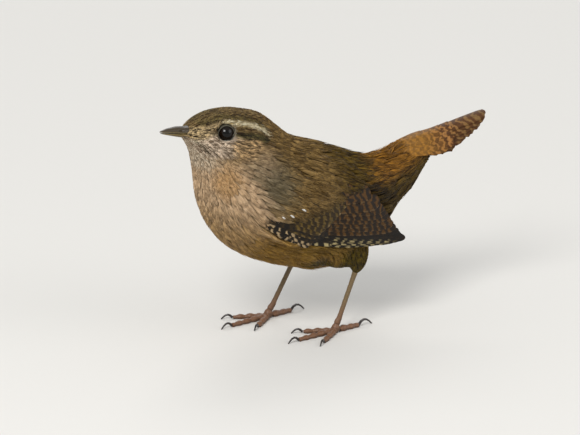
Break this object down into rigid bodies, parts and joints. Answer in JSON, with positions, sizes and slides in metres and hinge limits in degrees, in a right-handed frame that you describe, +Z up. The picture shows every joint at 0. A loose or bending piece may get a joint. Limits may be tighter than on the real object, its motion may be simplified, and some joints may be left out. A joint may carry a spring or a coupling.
{
  "type": "wren",
  "caption": "Still, life-size model of a wren standing on level ground, tail cocked, wings folded low, head turned slightly left.",
  "frame": {"origin": "on the ground, under the centre of the bounding box", "axes": "+X from the bill towards the tail, +Y towards the bird's right side, +Z up"},
  "size_m": [0.101, 0.039, 0.0667],
  "materials": {
    "plumage_back": "soft brown body feathers, matt",
    "plumage_breast": "soft buff body feathers, matt",
    "wing_feather": "barred brown flight feathers, slight sheen",
    "tail_feather": "barred rufous tail feathers, slight sheen",
    "bill_upper": "dark horn, satin",
    "bill_lower": "pale yellowish horn, satin",
    "eye": "wet, near-black, glossy",
    "leg_skin": "scaly pinkish-brown skin, satin",
    "claw": "dark horn, smooth"
  },
  "bodies": {
    "root": {"torso": "plumage_back", "neck": "plumage_back", "head": "plumage_back", "tail": "tail_feather", "wing_left": "wing_feather", "wing_right": "wing_feather", "thigh_left": "plumage_breast", "thigh_right": "plumage_breast", "bill_upper": "bill_upper", "bill_lower": "bill_lower", "eye_left": "eye", "eye_right": "eye", "tarsus_left": "leg_skin", "tarsus_right": "leg_skin", "foot_left": "leg_skin", "foot_right": "leg_skin", "toe_left_hind": "leg_skin", "toe_left_inner": "leg_skin", "toe_left_middle": "leg_skin", "toe_left_outer": "leg_skin", "toe_right_hind": "leg_skin", "toe_right_inner": "leg_skin", "toe_right_middle": "leg_skin", "toe_right_outer": "leg_skin", "claw_left_hind": "claw", "claw_left_inner": "claw", "claw_left_middle": "claw", "claw_left_outer": "claw", "claw_right_hind": "claw", "claw_right_inner": "claw", "claw_right_middle": "claw", "claw_right_outer": "claw"}
  },
  "joints": []
}
